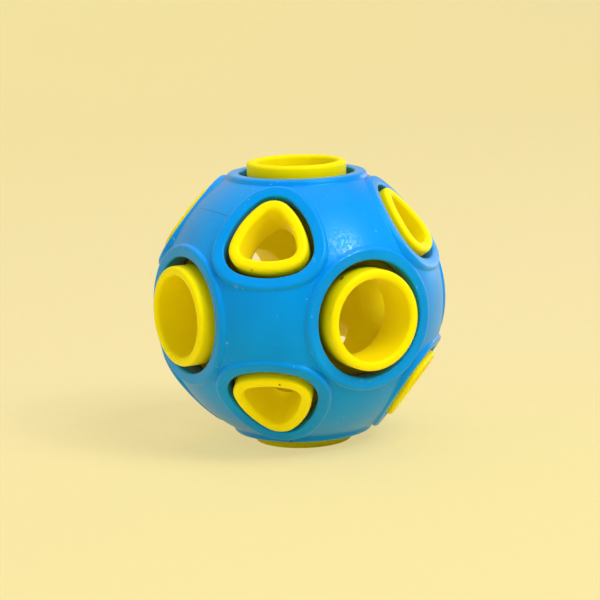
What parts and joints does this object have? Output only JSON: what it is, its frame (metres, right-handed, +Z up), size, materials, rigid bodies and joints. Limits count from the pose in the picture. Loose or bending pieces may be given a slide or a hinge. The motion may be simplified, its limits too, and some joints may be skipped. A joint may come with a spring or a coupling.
{
  "type": "treat dispensing ball",
  "caption": "Two-layer treat ball for pets: a blue cage ball with framed round and triangular windows holds a loose yellow hollow ball whose open tubes stand out through them.",
  "frame": {"origin": "centre of the ball", "axes": "+Z up through a round tube, X and Y through the round tubes at the sides, -Y the front, the halves part on the upright plane between +X and -Y"},
  "size_m": [0.0778, 0.0778, 0.0778],
  "materials": {
    "shell": "satin moulded blue, soft sheen",
    "inner": "satin moulded yellow rubber"
  },
  "bodies": {
    "inner_ball": {"inner_ball_front": "inner", "inner_ball_rear": "inner"},
    "outer_shell": {"outer_shell_front": "shell", "outer_shell_rear": "shell"}
  },
  "joints": [
    {"name": "shell_turn", "type": "hinge", "parent": "inner_ball", "child": "outer_shell", "pos_m": [0, 0, 0], "axis": [0, 0, 1], "range_deg": [-2.2, 2.2]}
  ]
}
